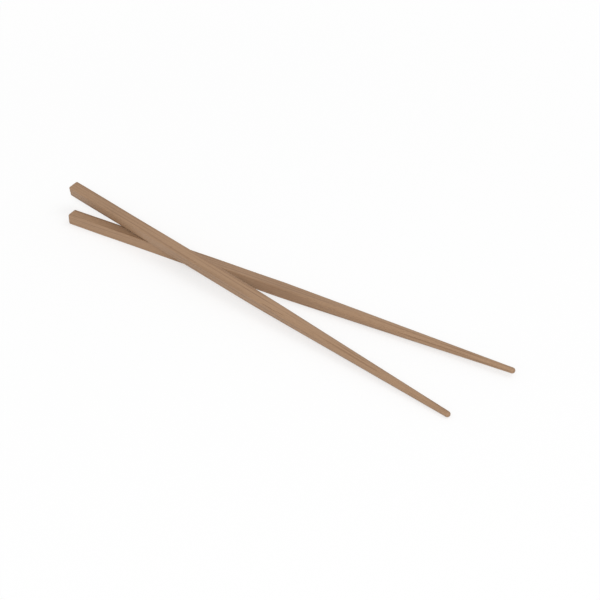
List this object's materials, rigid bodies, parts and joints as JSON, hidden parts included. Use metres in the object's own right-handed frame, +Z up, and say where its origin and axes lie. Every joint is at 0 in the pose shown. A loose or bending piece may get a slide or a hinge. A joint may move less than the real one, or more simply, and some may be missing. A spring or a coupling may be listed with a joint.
{
  "type": "chopsticks",
  "caption": "Bamboo chopsticks lying crossed, each a square handle with eased edges that runs into a turned round taper and a domed tip, for picking up food.",
  "frame": {"origin": "on the table below the crossing, on the lower stick's flat underside", "axes": "+X along the lower stick from its handle to its tip, +Z up from the table, so that the upper stick's tip lies towards -Y"},
  "size_m": [0.216, 0.0478, 0.0125],
  "materials": {
    "bamboo": "steamed brown bamboo, sanded, satin, with a fine lengthwise grain"
  },
  "bodies": {
    "root": {"lower_stick": "bamboo", "upper_stick": "bamboo"}
  },
  "joints": []
}
